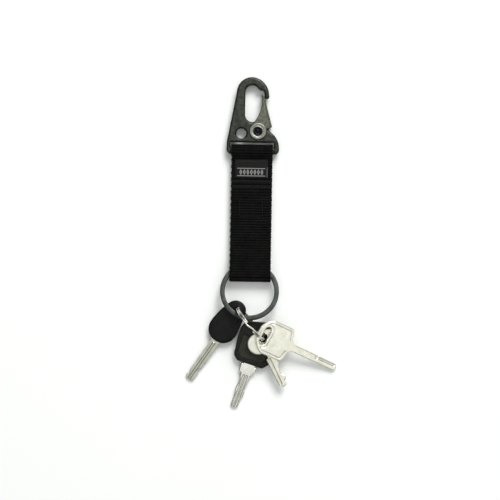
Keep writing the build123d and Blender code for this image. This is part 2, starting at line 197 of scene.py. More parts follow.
# %% Drawn lines
drawn_lines, entry, out = open_group(
    "drawn_lines",
    [("Vector", "Vector", None), ("Stretch", "Vector", (1.0, 30.0, 1.0)), ("Scale", "Float", 60.0)],
    [("Lines", "Float"), ("Scratches", "Float")])
stretched = add_node(drawn_lines, "VectorMath", operation="MULTIPLY")
join(drawn_lines, entry.outputs["Vector"], stretched.inputs[0])
join(drawn_lines, entry.outputs["Stretch"], stretched.inputs[1])
hairs = add_node(drawn_lines, "TexNoise", Detail=5.0, Roughness=0.75)
join(drawn_lines, stretched.outputs[0], hairs.inputs["Vector"])
join(drawn_lines, entry.outputs["Scale"], hairs.inputs["Scale"])
join(drawn_lines, spread(drawn_lines, hairs.outputs[0], 0.25, 0.75), out.inputs["Lines"])
join(drawn_lines, spread(drawn_lines, hairs.outputs[0], 0.60, 0.68), out.inputs["Scratches"])
print("group:", drawn_lines.name)

# %% Edges with wear and painted light
edge_wear_and_painted_light, entry, out = open_group(
    "edge_wear_and_painted_light",
    [("Vector", "Vector", None), ("Radius", "Float", 0.0005), ("Patchiness", "Float", 900.0)],
    [("Wear And Painted Light", "Float")])
rounded_normal = add_node(edge_wear_and_painted_light, "Bevel", samples=6)
join(edge_wear_and_painted_light, entry.outputs["Radius"], rounded_normal.inputs["Radius"])
true_normal = add_node(edge_wear_and_painted_light, "NewGeometry")
agreement = add_node(edge_wear_and_painted_light, "VectorMath", operation="DOT_PRODUCT")
join(edge_wear_and_painted_light, rounded_normal.outputs[0], agreement.inputs[0])
join(edge_wear_and_painted_light, true_normal.outputs["Normal"], agreement.inputs[1])
edge_mask = spread(edge_wear_and_painted_light, maths(edge_wear_and_painted_light, "SUBTRACT", 1.0, agreement.outputs["Value"]), 0.02, 0.16)
patches = add_node(edge_wear_and_painted_light, "TexNoise", Detail=3.0)
join(edge_wear_and_painted_light, entry.outputs["Vector"], patches.inputs["Vector"])
join(edge_wear_and_painted_light, entry.outputs["Patchiness"], patches.inputs["Scale"])
kept = spread(edge_wear_and_painted_light, patches.outputs[0], 0.35, 0.6, 0.25, 1.0)
join(edge_wear_and_painted_light, maths(edge_wear_and_painted_light, "MULTIPLY", edge_mask, kept), out.inputs["Wear And Painted Light"])
print("group:", edge_wear_and_painted_light.name)

# %% Painted shade in recesses
painted_recess_shade, entry, out = open_group(
    "painted_recess_shade", [("Distance", "Float", 0.001), ("Depth", "Float", 1.0)], [("Recess Shade", "Float")])
# Painted shade: the local Ambient Occlusion node darkens creases, slot walls and grooves where shade falls.
openness = add_node(painted_recess_shade, "AmbientOcclusion", samples=6, only_local=True)
join(painted_recess_shade, entry.outputs["Distance"], openness.inputs["Distance"])
closed_in = spread(painted_recess_shade, openness.outputs["AO"], 0.42, 0.88, 1.0, 0.0)
join(painted_recess_shade, maths(painted_recess_shade, "MULTIPLY", closed_in, entry.outputs["Depth"]),
     out.inputs["Recess Shade"])
print("group:", painted_recess_shade.name)

# %% Dust specks
dust_specks, entry, out = open_group(
    "dust_specks",
    [("Vector", "Vector", None), ("Scale", "Float", 900.0)],
    [("Dust", "Float")])
cells = add_node(dust_specks, "TexVoronoi", Randomness=1.0)
clumps = add_node(dust_specks, "TexNoise", Scale=250.0, Detail=3.0)
join(dust_specks, entry.outputs["Vector"], cells.inputs["Vector"])
join(dust_specks, entry.outputs["Scale"], cells.inputs["Scale"])
join(dust_specks, entry.outputs["Vector"], clumps.inputs["Vector"])
dots = spread(dust_specks, cells.outputs["Distance"], 0.10, 0.18, 1.0, 0.0)
join(dust_specks, maths(dust_specks, "MULTIPLY", dots, spread(dust_specks, clumps.outputs[0], 0.5, 0.7)),
     out.inputs["Dust"])
print("group:", dust_specks.name)

# %% [markdown]
# ## Starting a material
# Each finish starts from the same shader with its plain numbers set on the shader's own
# sockets. What changes over the surface - colour, roughness, the height for a bump - is then
# joined in. Patterns read Object coordinates, which are true metres here because every piece
# sits at the origin, or a piece's own UV map in millimetres where a pattern follows the piece.

# %% Material helper


def start_finish(name, coordinates="Object", **shader_values):
    """New material; returns it, its tree, its shader and the coordinate socket patterns read."""
    material = bpy.data.materials.new(name)
    material.use_nodes = True
    tree = material.node_tree
    shader = tree.nodes["Principled BSDF"]
    for label, value in shader_values.items():
        shader.inputs[label.replace("_", " ")].default_value = value
    return material, tree, shader, add_node(tree, "TexCoord").outputs[coordinates]


def raise_surface(tree, shader, height, distance):
    """Bump from a height socket, as deep as a distance in metres, into the shader's normal."""
    bump = add_node(tree, "Bump", Strength=1.0, Distance=distance)
    join(tree, height, bump.inputs["Height"])
    join(tree, bump.outputs[0], shader.inputs["Normal"])


# %% [markdown]
# ## Metal finishes
# The hook is a forging with a thin dark oxide coat: satin and slightly cloudy, with its rims
# painted darker as painted shade. The gate is bare rolled sheet, so its lines run one way and a
# faint warm stain shows; its rims get a little painted shade too. Washers, rivet and rings are
# rubbed brighter on their edges instead, and on the rivet this is also a painted highlight. Keys
# and the small ring are nickel plate, which is nearly a mirror with hairlines; their rims are
# painted darker as painted shade. Every metal finish also has painted shade in its recesses.

# %% Coated and bare steel


def steel_finish(name, dark, light, edge, roughness, edge_radius, line_scale=0.0, cloud=300.0):
    """Steel whose colour drifts from dark to light, with a fine grain, painted shade in recesses and its own
    colour on the edges: painted shade where it is darker, rubbed wear where it is brighter.
    """
    material, tree, shader, place = start_finish(name, Metallic=1.0)
    tones = place_group(tree, cloudy_tone, place, Scale=cloud, Grain_Scale=2600.0)
    edge_wear_and_light = place_group(tree, edge_wear_and_painted_light, place, Radius=edge_radius)["Wear And Painted Light"]
    colour = blend_colours(tree, tones["Tone"], dark, light)
    if line_scale:
        lines = place_group(tree, drawn_lines, place, Scale=line_scale, Stretch=(14.0, 1.0, 14.0))
        colour = blend_colours(tree, maths(tree, "MULTIPLY", lines["Lines"], 0.35), colour, edge)
        height = maths(tree, "ADD", lines["Lines"], tones["Grain"])
    else:
        height = tones["Grain"]
    # Painted shade: recesses fade towards a third of the dark tone.
    recess_shade = place_group(tree, painted_recess_shade, Distance=0.0012, Depth=0.75)["Recess Shade"]
    recess_shade_tone = tuple(c * 0.3 for c in dark)
    colour = blend_colours(tree, recess_shade, blend_colours(tree, edge_wear_and_light, colour, edge), recess_shade_tone)
    join(tree, colour, shader.inputs["Base Color"])
    rough = spread(tree, tones["Grain"], 0.0, 1.0, roughness - 0.07, roughness + 0.10)
    rough = maths(tree, "SUBTRACT", rough, maths(tree, "MULTIPLY", edge_wear_and_light, 0.12))
    join(tree, rough, shader.inputs["Roughness"])
    raise_surface(tree, shader, height, 0.00002)
    return material


# Painted shade: the hook's and the gate's edge colours are darker than their faces, painting dark outlines
# along the rims.
forged_coat = steel_finish(
    "forged_dark_coat", dark=(0.028, 0.031, 0.026), light=(0.082, 0.088, 0.073),
    edge=(0.010, 0.0115, 0.010), roughness=0.38, edge_radius=0.0007, line_scale=60.0, cloud=480.0)
gate_sheet_steel = steel_finish(
    "bare_gate_sheet", dark=(0.068, 0.071, 0.054), light=(0.205, 0.207, 0.165),
    edge=(0.055, 0.056, 0.045), roughness=0.40, edge_radius=0.0003, line_scale=90.0, cloud=900.0)
turned_washer_steel = steel_finish(
    "turned_washer_steel", dark=(0.20, 0.202, 0.18), light=(0.31, 0.312, 0.28),
    edge=(0.55, 0.55, 0.52), roughness=0.34, edge_radius=0.0002)
# The rivet's pale edge colour is rubbed wear and also a painted highlight on the black head.
rivet_black = steel_finish(
    "blacked_rivet", dark=(0.008, 0.008, 0.010), light=(0.02, 0.021, 0.024),
    edge=(0.40, 0.39, 0.40), roughness=0.22, edge_radius=0.0002, cloud=900.0)
spring_wire_steel = steel_finish(
    "spring_wire", dark=(0.25, 0.25, 0.24), light=(0.4, 0.4, 0.39),
    edge=(0.5, 0.5, 0.5), roughness=0.30, edge_radius=0.0001, line_scale=400.0)
key_ring_steel = steel_finish(
    "dark_key_ring_steel", dark=(0.026, 0.030, 0.027), light=(0.052, 0.058, 0.053),
    edge=(0.075, 0.083, 0.078), roughness=0.36, edge_radius=0.00045, cloud=220.0)
print("steel finishes ready")

# %% Nickel plate


def nickel_finish(name, cool, warm, rim, roughness, scuff):
    """Plated metal on a UV in millimetres: hairlines, scuffs, soft tarnish, rims darkened by a share as
    painted shade, and painted shade in recesses.
    """
    material, tree, shader, place = start_finish(name, "UV", Metallic=1.0)
    tones = place_group(tree, cloudy_tone, place, Scale=0.22, Grain_Scale=2.4)
    lines = place_group(tree, drawn_lines, place, Scale=0.35, Stretch=(1.0, 22.0, 1.0))
    cross = place_group(tree, drawn_lines, place, Scale=0.5, Stretch=(9.0, 1.4, 1.0))
    solid_place = add_node(tree, "TexCoord").outputs["Object"]
    edge_wear_and_light = place_group(tree, edge_wear_and_painted_light, solid_place, Radius=0.00018, Patchiness=1600.0)["Wear And Painted Light"]
    colour = blend_colours(tree, tones["Tone"], cool, warm)
    dulled = tuple(c * 0.62 for c in warm)
    colour = blend_colours(tree, maths(tree, "MULTIPLY", cross["Scratches"], scuff), colour, dulled)
    # Painted shade: rims are darkened by the rim share, and recesses fade to near black.
    rim_tone = tuple(min(1.0, c * rim) for c in cool)
    recess_shade = place_group(tree, painted_recess_shade, Distance=0.0013, Depth=1.0)["Recess Shade"]
    colour = blend_colours(tree, recess_shade, blend_colours(tree, edge_wear_and_light, colour, rim_tone), (0.022, 0.020, 0.015))
    join(tree, colour, shader.inputs["Base Color"])
    rough = maths(tree, "ADD", roughness, maths(tree, "MULTIPLY", lines["Lines"], 0.12))
    rough = maths(tree, "ADD", rough, maths(tree, "MULTIPLY", cross["Scratches"], 0.15))
    join(tree, rough, shader.inputs["Roughness"])
    raise_surface(tree, shader, maths(tree, "ADD", lines["Lines"], tones["Grain"]), 0.000012)
    return material


bright_key_nickel = nickel_finish(
    "bright_key_nickel", cool=(1.0, 0.995, 0.90), warm=(0.82, 0.805, 0.65),
    rim=0.70, roughness=0.22, scuff=0.35)
milled_blade_nickel = nickel_finish(
    "milled_blade_nickel", cool=(0.64, 0.65, 0.58), warm=(0.48, 0.47, 0.38),
    rim=0.25, roughness=0.24, scuff=0.45)
car_blade_nickel = nickel_finish(
    "car_blade_nickel", cool=(1.0, 1.0, 0.96), warm=(0.78, 0.77, 0.67),
    rim=0.22, roughness=0.20, scuff=0.45)
polished_ring_nickel = nickel_finish(
    "polished_ring_nickel", cool=(0.80, 0.80, 0.77), warm=(0.72, 0.71, 0.62),
    rim=0.90, roughness=0.14, scuff=0.30)
print("nickel finishes ready")

# %% [markdown]
# ## Moulded plastic and rubber
# The two black key heads differ: one is hard plastic polished by pockets, the other a softer
# rubber with a satin grey insert. Both are near black, so what tells them apart is how they
# shine. Roughness varies with handling marks, a fine moulded texture breaks up the highlight,
# and a little dust sits in the texture.

# %% Plastic and rubber


def moulded_finish(name, dark, light, roughness, texture_scale, texture_height, dust_share):
    """Dark moulded plastic or rubber with a fine texture, handling marks, dust, and pale edges that are
    rubbed wear and painted highlight.
    """
    material, tree, shader, place = start_finish(name, Specular_IOR_Level=0.11)
    tones = place_group(tree, cloudy_tone, place, Scale=180.0, Grain_Scale=texture_scale)
    marks = place_group(tree, drawn_lines, place, Scale=90.0, Stretch=(1.0, 7.0, 1.0))
    edge_wear_and_light = place_group(tree, edge_wear_and_painted_light, place, Radius=0.0005)["Wear And Painted Light"]
    dust = place_group(tree, dust_specks, place, Scale=1400.0)["Dust"]
    colour = blend_colours(tree, tones["Tone"], dark, light)
    # The pale edge tone is rubbed wear and also a painted highlight along the rims.
    rubbed_and_highlit = tuple(c * 2.2 + 0.012 for c in light)
    colour = blend_colours(tree, maths(tree, "MULTIPLY", edge_wear_and_light, 0.55), colour, rubbed_and_highlit)
    join(tree, blend_colours(tree, maths(tree, "MULTIPLY", dust, dust_share), colour, (0.32, 0.31, 0.28)),
         shader.inputs["Base Color"])
    rough = spread(tree, tones["Tone"], 0.0, 1.0, roughness - 0.06, roughness + 0.08)
    join(tree, maths(tree, "ADD", rough, maths(tree, "MULTIPLY", marks["Scratches"], 0.2)),
         shader.inputs["Roughness"])
    raise_surface(tree, shader, tones["Grain"], texture_height)
    return material


head_plastic = moulded_finish(
    "smooth_black_plastic", dark=(0.005, 0.005, 0.005), light=(0.011, 0.011, 0.011),
    roughness=0.36, texture_scale=1500.0, texture_height=0.00001, dust_share=0.35)
head_rubber = moulded_finish(
    "soft_black_rubber", dark=(0.009, 0.009, 0.008), light=(0.019, 0.0195, 0.017),
    roughness=0.46, texture_scale=3200.0, texture_height=0.00003, dust_share=0.5)
insert_grey = moulded_finish(
    "satin_grey_insert", dark=(0.024, 0.026, 0.020), light=(0.042, 0.044, 0.035),
    roughness=0.42, texture_scale=2600.0, texture_height=0.00002, dust_share=0.3)
print("moulded finishes ready")

# %% [markdown]
# ## Mesh helpers
# Every new shape is a grid of points worked out as one numpy array. A grid that closes on
# itself in both directions is a watertight ring; one that starts and ends on an axis is closed
# by merging the points that fall together there.

# %% Mesh helpers


def grid_quads(rows, columns, wrap_rows, wrap_columns):
    """Corner numbers of every quad between neighbouring grid rows and columns, wrapped where asked."""
    row_starts, column_starts = np.arange(rows - (not wrap_rows)), np.arange(columns - (not wrap_columns))
    r, c = np.meshgrid(row_starts, column_starts, indexing="ij")
    r2, c2 = (r + 1) % rows, (c + 1) % columns
    quads = np.stack([r * columns + c, r2 * columns + c, r2 * columns + c2, r * columns + c2], -1)
    return quads.reshape(-1, 4)


def local_points(mesh):
    """All points of a mesh as an (n, 3) array."""
    where = np.zeros(len(mesh.vertices) * 3)
    mesh.vertices.foreach_get("co", where)
    return where.reshape(-1, 3)


def weld(mesh, distance, turn_outward=False):
    """Merges points that lie together, and turns the faces outward if asked."""
    work = bmesh.new()
    work.from_mesh(mesh)
    bmesh.ops.remove_doubles(work, verts=work.verts, dist=distance)
    if turn_outward:
        bmesh.ops.recalc_face_normals(work, faces=work.faces)
    work.to_mesh(mesh)
    work.free()


def write_uv(mesh, uv):
    """Gives a mesh one UV map in millimetres, from one (u, v) per point."""
    for layer in list(mesh.uv_layers):
        mesh.uv_layers.remove(layer)
    corners = np.zeros(len(mesh.loops), np.int32)
    mesh.loops.foreach_get("vertex_index", corners)
    layer = mesh.uv_layers.new(name="surface_mm")
    layer.data.foreach_set("uv", np.asarray(uv, np.float32)[corners].ravel())


def make_piece(name, points, faces, uv=None, merge=0.0):
    """Smooth-shaded mesh object from points in millimetres; uv holds one (u, v) per point."""
    mesh = bpy.data.meshes.new(name)
    mesh.from_pydata((np.asarray(points) * MM).tolist(), [], np.asarray(faces).tolist())
    if uv is not None:
        write_uv(mesh, uv)
    if merge:
        weld(mesh, merge * MM, turn_outward=True)
    mesh.polygons.foreach_set("use_smooth", np.ones(len(mesh.polygons), bool))
    mesh.validate()
    return placed(name, mesh)


def dress(piece, body, material, slot, *nodes):
    """Gives a piece its material, lets it stand for CAD nodes and ride on their body; its slot is not used.
    """
    piece.data.materials.clear()
    piece.data.materials.append(material)
    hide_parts(*nodes)
    if body:
        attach(piece, body)
    print(f"{piece.name}: {len(piece.data.polygons)} faces")


# %% [markdown]
# ## Parts cut or forged from plate
# The hook, its gate and the keys have outlines that the CAD model already holds exactly. What
# it lacks are the softened edges that catch light. A Bevel modifier tears on the long thin
# triangles of an exported solid, so each copy is rebuilt as even small squares by a voxel
# Remesh, then relaxed: flat faces stay flat, and every edge becomes round by about as much as
# the relaxing reaches. It is done with the part laid square to the voxels, so its faces stay
# true, and in millimetres, because voxels a fifth of a millimetre wide are very small in metres.
#
# Between the two steps a copy may be chamfered. A KD-tree gives each point's distance to the
# nearest wall, and the face is lowered in line with it up to the chamfer's width. A shallow
# scribed line is cut the same way, at one distance from the rims.

# %% Eased copies
WALL_TILT = 0.4
SCRIBE_REACH = 0.22
WELD_DISTANCE = 0.0008


def modified_mesh(mesh, kind, **settings):
    """The mesh as one modifier with those settings leaves it."""
    holder = placed("holder", mesh)
    modifier = holder.modifiers.new("step", kind)
    for name, value in settings.items():
        setattr(modifier, name, value)
    made = bpy.data.meshes.new_from_object(holder.evaluated_get(bpy.context.evaluated_depsgraph_get()))
    bpy.data.objects.remove(holder)
    return made


def chamfer_rims(mesh, half_thick, width, drop, line_at=0.0, line_depth=0.0, line_until=0.0):
    """Lowers each face towards its rims, in line with the distance to the nearest wall point.

    A scribed line may follow the rims at one distance: a bell-shaped dip, as far as x = line_until.
    """
    points = local_points(mesh)
    normals = np.zeros(len(points) * 3)
    mesh.vertices.foreach_get("normal", normals)
    walls = np.flatnonzero(np.abs(normals.reshape(-1, 3)[:, 2]) < WALL_TILT)
    tree = KDTree(len(walls))
    for index, (x, y) in enumerate(points[walls, :2]):
        tree.insert((x, y, 0), index)
    tree.balance()
    gap = np.array([tree.find((x, y, 0))[2] for x, y in points[:, :2]])
    dip = line_depth * np.exp(-((gap - line_at) / SCRIBE_REACH) ** 2)
    scribed = dip * (points[:, 0] < line_until)
    limit = half_thick - drop * np.clip(1 - gap / width, 0, 1) - scribed
    points[:, 2] = np.clip(points[:, 2], -limit, limit)
    mesh.vertices.foreach_set("co", points.ravel())
    mesh.update()


def eased_copy(node, name, axes, voxel, relaxing, **chamfer):
    """Copy of a CAD node rebuilt from voxels in its own axes, chamfered if asked, and relaxed."""
    origin, frame_axes = axes[0], np.array(axes[1:])
    mesh = frame["nodes"][node].data.copy()
    mesh.vertices.foreach_set("co", ((local_points(mesh) / MM - origin) @ frame_axes.T).ravel())
    weld(mesh, WELD_DISTANCE)
    even = modified_mesh(mesh, "REMESH", mode="VOXEL", voxel_size=voxel)
    if chamfer:
        chamfer_rims(even, **chamfer)
    even = modified_mesh(even, "SMOOTH", factor=0.5, iterations=relaxing)
    even.vertices.foreach_set("co", ((local_points(even) @ frame_axes + origin) * MM).ravel())
    even.polygons.foreach_set("use_smooth", np.ones(len(even.polygons), bool))
    even.update()
    even.name = name
    return placed(name, even)


hook_axes = (np.array([0, 0, joint_at["gate_pivot"][2]]), *np.eye(3))
forged_hook = eased_copy("hook_body", "forged_hook", hook_axes, voxel=0.25, relaxing=3,
                         half_thick=2.0, width=0.85, drop=0.62)
dress(forged_hook, "hook", forged_coat, "dark_cast_metal", "hook_body")
folded_gate = eased_copy("hook_gate", "folded_gate", hook_axes, voxel=0.18, relaxing=3,
                         half_thick=2.95, width=0.4, drop=0.3)
dress(folded_gate, "gate", gate_sheet_steel, "bare_sheet_steel", "hook_gate")

# %% [markdown]
# ## Rivet and washers
# Both are turned parts, so each is a profile carried round the pivot. The rivet's head has a
# rolled rim and a six-lobed socket with a small raised centre; the lobes come from letting the
# socket's radius swing with the angle. The washer is a ring with rolled edges and a shallow
# turned groove.

# %% Turned parts
pivot = joint_at["gate_pivot"]
WASHER_SEAT = 3.0
HEAD_SEAT = 3.4
SHANK_RADIUS = 1.6
SOCKET = (0.7, 1.75)
LOBE_DEPTH = 0.16
TURN_STEPS = 96


def turned(name, profile, centre, lobes=None, closed=False):
    """A profile of (radius, height) carried round a vertical axis; lobes may change the radius."""
    angle = np.linspace(0, 2 * np.pi, TURN_STEPS, endpoint=False)
    radius, height = np.array(profile, float).T
    reach = np.repeat(radius[:, None], TURN_STEPS, 1)
    if lobes is not None:
        reach = lobes(reach, angle[None, :])
    points = np.stack([reach * np.cos(angle), reach * np.sin(angle),
                       np.repeat(height[:, None], TURN_STEPS, 1)], -1).reshape(-1, 3) + centre
    return make_piece(name, points, grid_quads(len(profile), TURN_STEPS, closed, True), merge=0.002)


def socket_lobes(reach, angle):
    """Radius that swings six times round the socket wall, and not at all outside it."""
    in_wall = (reach > SOCKET[0]) & (reach < SOCKET[1])
    return reach + in_wall * LOBE_DEPTH * np.cos(6 * angle)


upper_head = [(0.0, 0.22), (0.35, 0.2), (0.6, 0.1), (0.78, -0.08), (1.45, -0.1), (1.55, -0.04),
              (1.6, 0.38), (1.7, 0.46), (2.3, 0.5), (2.66, 0.47), (2.78, 0.39), (2.8, 0.2),
              (2.8, 0.02), (2.7, 0.0), (SHANK_RADIUS, 0.0)]
lower_head = [(SHANK_RADIUS, 0.0), (2.7, 0.0), (2.8, 0.04), (2.8, 0.22), (2.6, 0.42), (2.0, 0.48),
              (1.2, 0.44), (0.9, 0.3), (0.0, 0.26)]
rivet_profile = [(radius, HEAD_SEAT + rise) for radius, rise in upper_head]
rivet_profile += [(SHANK_RADIUS, 0.0)]
rivet_profile += [(radius, -HEAD_SEAT - rise) for radius, rise in lower_head]
dress(turned("gate_rivet_turned", rivet_profile, pivot, socket_lobes), "hook", rivet_black,
      "black_rivet", "gate_rivet")
washer_profile = [(1.66, 0.06), (1.66, 0.34), (1.74, 0.4), (2.95, 0.4), (3.05, 0.34), (3.2, 0.34), (3.3, 0.4),
                  (4.55, 0.4), (4.78, 0.34), (4.9, 0.2), (4.88, 0.06), (4.8, 0.0), (1.74, 0.0)]
for washer_side, washer_name in ((1, "front_pivot_washer"), (-1, "rear_pivot_washer")):
    seated = [(radius, washer_side * (WASHER_SEAT + rise)) for radius, rise in washer_profile]
    dress(turned(washer_name + "_turned", seated, pivot, closed=True), "hook", turned_washer_steel,
          "bright_washer", washer_name)

# %% [markdown]
# ## Torsion spring
# A coil of thin wire round the rivet pushes the gate shut. It sits in a recess, out of sight. A
# circle is carried along a helix, with each circle turned square to the wire.

# %% Torsion spring
COIL_RADIUS = 2.7
COIL_TURNS = 1.5
COIL_PITCH = 0.8
WIRE_RADIUS = 0.3
RECESS_FLOOR = -0.2
FLOOR_GAP = 0.02


def wire_along(name, centres, radius, sides=12):
    """Tube with closed ends: at each centre a circle in the plane square to the line of centres."""
    ahead = np.gradient(centres, axis=0)
    ahead /= np.linalg.norm(ahead, axis=1)[:, None]
    side = np.cross(ahead, (0, 0, 1.0))
    side /= np.linalg.norm(side, axis=1)[:, None]
    up = np.cross(side, ahead)
    angle = np.linspace(0, 2 * np.pi, sides, endpoint=False)
    ring = side[:, None] * np.cos(angle)[None, :, None] + up[:, None] * np.sin(angle)[None, :, None]
    points = centres[:, None] + ring * radius
    first, last = np.repeat(centres[:1, None], sides, 1), np.repeat(centres[-1:, None], sides, 1)
    points = np.concatenate([first, points, last])
    return make_piece(name, points.reshape(-1, 3), grid_quads(len(points), sides, False, True), merge=0.001)


turn = np.linspace(0, 2 * np.pi * COIL_TURNS, 90)
coil_floor = RECESS_FLOOR + WIRE_RADIUS + FLOOR_GAP
coil_line = pivot + np.stack([COIL_RADIUS * np.cos(turn), COIL_RADIUS * np.sin(turn),
                              coil_floor + COIL_PITCH * turn / (2 * np.pi)], -1)
dress(wire_along("torsion_spring", coil_line, WIRE_RADIUS), "hook", spring_wire_steel, "spring_steel",
      "gate_spring")

# %% [markdown]
# ## Ribbed webbing
# The strap is one band of nylon webbing, folded round the hook's bar and round the key ring and
# sewn flat between. A cloth simulation would lose its ribs, and a band this stiff keeps its
# shape, so it is modelled directly: a closed line seen from the side, a flat section across
# it, and ribs raised across the band. It is one piece, bent where the sewn part ends, so no
# gap shows there.
#
# Along each rib the threads stand up in short columns, which are offset from one rib to the
# next. The band's edges wander: they stand out at each rib, where the cross thread turns back,
# and a slow wave from uneven tension runs through them.

# %% Line of the webbing
strap_x, bar_y, rest_z = joint_at["strap_swing"]
LAYER = 0.75
LOOP_RADIUS = 3.2
UPPER_TAPER = 5.4
FOLD_Y = bar_y - 74.5
FOLD_RISE = 1.35
POCKET = 6.0
LOWER_TAPER = 17.0


def farthest_line(round_ends, directions):
    """For each direction the point of the round ends (y, z, radius) that lies farthest along it."""
    facing = np.stack([np.cos(directions), np.sin(directions)], -1)
    centres = np.array([end[:2] for end in round_ends])
    radii = np.array([end[2] for end in round_ends])
    best = np.argmax(facing @ centres.T + radii, 1)
    return centres[best] + radii[best][:, None] * facing


def even_loop(line, count, soften):
    """A closed line at count even steps, its corners softened over that many steps by a bell curve."""
    closed = np.concatenate([line, line[:1]])
    gone = np.concatenate([[0], np.cumsum(np.linalg.norm(np.diff(closed, axis=0), axis=1))])
    steps = np.linspace(0, gone[-1], count, endpoint=False)
    even = np.stack([np.interp(steps, gone, closed[:, k]) for k in range(closed.shape[1])], -1)
    reach = np.arange(-4 * soften, 4 * soften + 1)
    bell = np.exp(-0.5 * (reach / soften) ** 2)
    even = sum(np.roll(even, shift, 0) * weight for shift, weight in zip(reach, bell / bell.sum()))
    return even, steps


upper_ends = [(bar_y, rest_z, LOOP_RADIUS)]
lower_ends = [(FOLD_Y, rest_z + FOLD_RISE, LOOP_RADIUS), (FOLD_Y + POCKET, rest_z, LOOP_RADIUS)]
for layer_side in (1, -1):
    upper_ends.append((bar_y - UPPER_TAPER, rest_z + layer_side * LAYER, 0))
    lower_ends.append((FOLD_Y + LOWER_TAPER, rest_z + layer_side * LAYER, 0))
side_line = np.concatenate([
    farthest_line(upper_ends, np.radians(np.linspace(130, -130, 200))),
    farthest_line(lower_ends, np.radians(np.linspace(-50, -310, 200)))])
RIBS = 108
STEPS_PER_RIB = 6
side_line, band_distance = even_loop(side_line, RIBS * STEPS_PER_RIB, 4)
band_length = band_distance[1] * len(side_line)
print("webbing loop in mm:", round(float(band_length), 1), "rib pitch:", round(float(band_length) / RIBS, 2))

# %% Webbing surface
HALF_WIDTH = 12.42
EDGE_ROUND = 0.45
RIB_HEIGHT = 0.36
RIB_ROUNDNESS = 0.8
COLUMN_PITCH = 1.15
COLUMN_SHARE = 0.28
WEAVE_ROUGHNESS = 0.012
RIBS_PER_WAVE = 2.4
LEFT_EDGE = (0.40, 0.20, -0.50)
RIGHT_EDGE = (0.36, 0.06, -0.36)
heading = np.roll(side_line, -1, 0) - np.roll(side_line, 1, 0)
heading /= np.linalg.norm(heading, axis=1)[:, None]
outward = np.stack([-heading[:, 1], heading[:, 0]], -1)


def webbing_section():
    """Across the band: (x, height share) from edge to edge on the outer face and back on the inner one."""
    flat = HALF_WIDTH - EDGE_ROUND
    outer, inner = np.linspace(-1, 1, 70) * flat, np.linspace(1, -1, 16) * flat
    turn_over = np.radians(np.array([60, 30, 0, -30, -60]))
    edge_x, edge_h = flat + EDGE_ROUND * np.cos(turn_over), np.sin(turn_over)
    x = np.concatenate([outer, edge_x, inner, -edge_x[::-1]])
    share = np.concatenate([np.ones(len(outer)), edge_h, -np.ones(len(inner)), edge_h[::-1]])
    return x, share


section_x, section_share = webbing_section()
top_point = int(np.argmax(side_line[:, 0]))
rib_phase = (np.arange(len(side_line)) - top_point) / STEPS_PER_RIB
ridge = (0.5 + 0.5 * np.cos(2 * np.pi * rib_phase)) ** RIB_ROUNDNESS
rib_parity = np.where(np.floor(rib_phase + 0.5) % 2 == 0, 0.0, np.pi)
columns = 0.5 + 0.5 * np.cos(2 * np.pi * section_x[None, :] / COLUMN_PITCH + rib_parity[:, None])
lift = RIB_HEIGHT * (ridge[:, None] * (1 - COLUMN_SHARE + COLUMN_SHARE * columns) - 1.0)
rough_weave = np.random.default_rng(7).normal(0, WEAVE_ROUGHNESS, (len(side_line), len(section_x)))
is_outer = section_share[None, :] > 0.9
offset = LAYER * section_share[None, :] + np.where(is_outer, lift + rough_weave, 0.0)
offset = np.where(section_share[None, :] < -0.9, -LAYER + 0.02, offset)
is_edge = np.abs(section_share) < 0.95
slow_wave = np.cos(2 * np.pi * rib_phase / RIBS_PER_WAVE)


def edge_wander(at_rib, at_wave, everywhere):
    """How far an edge stands out at each step, in millimetres, from its three shares."""
    return at_rib * ridge + at_wave * slow_wave + everywhere


left_shift, right_shift = edge_wander(*LEFT_EDGE), edge_wander(*RIGHT_EDGE)
edge_shift = np.where(section_x[None, :] < 0, -left_shift[:, None], right_shift[:, None])
across = section_x[None, :] + is_edge[None, :] * edge_shift
middle = side_line[:, None, :] + outward[:, None, :] * offset[..., None]
band_points = np.stack([strap_x + across, middle[..., 0], middle[..., 1]], -1)
band_uv = np.stack(np.broadcast_arrays(section_x[None, :], band_distance[:, None]), -1)
webbing = make_piece("ribbed_webbing", band_points.reshape(-1, 3),
                     grid_quads(*across.shape, True, True)[:, ::-1], band_uv.reshape(-1, 2))
print("webbing points:", across.size)

# %% [markdown]
# ## Webbing material
# The ribs are real geometry; the yarns in them are too fine for that. The material draws them
# from the band's own UV in millimetres: thin threads along the strap that pass over each rib,
# valleys between ribs darkened as painted shade, a slight change of black from yarn to yarn,
# and a soft sheen at glancing angles. The label and the thread use the same group with other
# pitches.

# %% Yarn group
woven_yarns, entry, out = open_group(
    "woven_yarns",
    [("Vector", "Vector", None), ("Thread Pitch", "Float", 0.38), ("Row Pitch", "Float", 1.5)],
    [("Height", "Float"), ("Valley", "Float"), ("Tint", "Float")])
parts = add_node(woven_yarns, "SeparateXYZ")
join(woven_yarns, entry.outputs["Vector"], parts.inputs[0])


def wave_of(coordinate, pitch, shift=0.0):
    """A round wave from 0 to 1 with one crest per pitch: the size of a sine of half the angle."""
    turns = maths(woven_yarns, "DIVIDE", coordinate, pitch)
    half = maths(woven_yarns, "MULTIPLY_ADD", turns, math.pi, shift)
    return maths(woven_yarns, "ABSOLUTE", maths(woven_yarns, "SINE", half))


